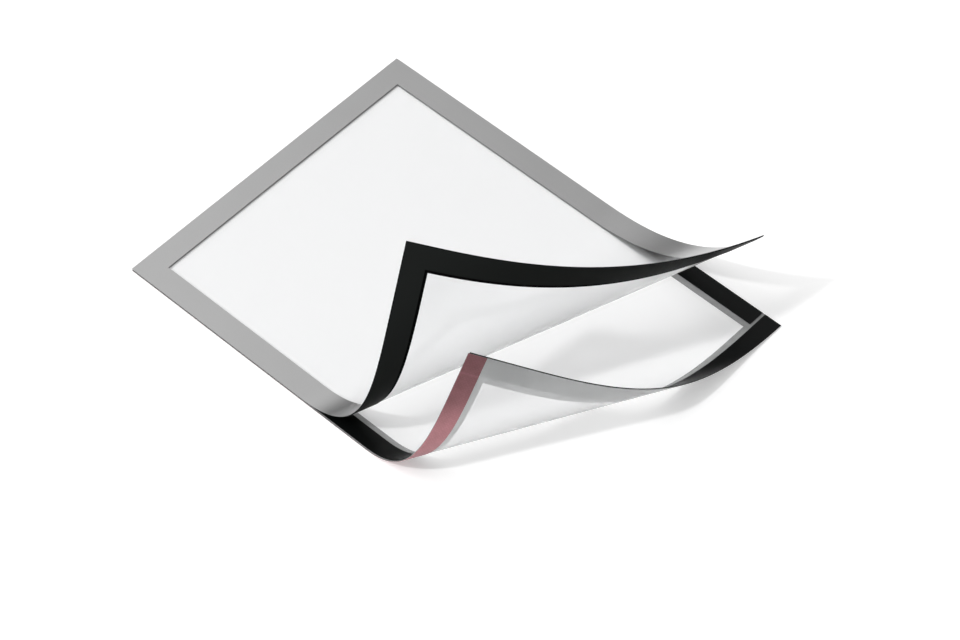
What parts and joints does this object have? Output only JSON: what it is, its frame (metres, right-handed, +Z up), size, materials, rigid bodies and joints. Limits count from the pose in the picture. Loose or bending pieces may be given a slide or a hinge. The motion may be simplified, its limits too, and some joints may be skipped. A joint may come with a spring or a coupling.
{
  "type": "magnetic photo frame",
  "caption": "Flexible magnetic frame for one A4 sheet: a hinged silver-bordered window cover over a self-adhesive back, lying with its free corner curled up.",
  "frame": {"origin": "bottom centre of the bounding box, on the surface that the frame lies on", "axes": "+X from the hinge edge to the free end, +Y along the hinge edge away from the curled corner, +Z up"},
  "size_m": [0.323, 0.2418, 0.1317],
  "materials": {
    "clear_film": "clear gloss film",
    "grey_print": "grey print on film",
    "base_magnet": "satin black magnet strip",
    "adhesive_tape": "double-sided tape",
    "red_liner": "translucent red liner film",
    "hinge_tape": "clear hinge tape",
    "cover_magnet": "satin black magnet sheet",
    "black_print": "black print",
    "silver_print": "satin silver print"
  },
  "bodies": {
    "back": {"back_film": "clear_film", "back_grey_border": "grey_print", "base_magnet_hinge_side": "base_magnet", "base_magnet_free_end": "base_magnet", "base_magnet_near_side": "base_magnet", "base_magnet_far_side": "base_magnet", "adhesive_tape_near_side": "adhesive_tape", "adhesive_tape_far_side": "adhesive_tape", "release_liner_near_side": "red_liner", "release_liner_far_side": "red_liner", "hinge_tape_back_leaf": "hinge_tape"},
    "cover": {"hinge_tape_cover_leaf": "hinge_tape", "cover_magnet_frame": "cover_magnet", "cover_black_print": "black_print", "cover_film": "clear_film", "cover_silver_border": "silver_print"}
  },
  "joints": [
    {"name": "cover_hinge", "type": "hinge", "parent": "back", "child": "cover", "pos_m": [-0.16152, 0, 0.00105], "axis": [0, -1, 0], "range_deg": [0, 140]}
  ]
}
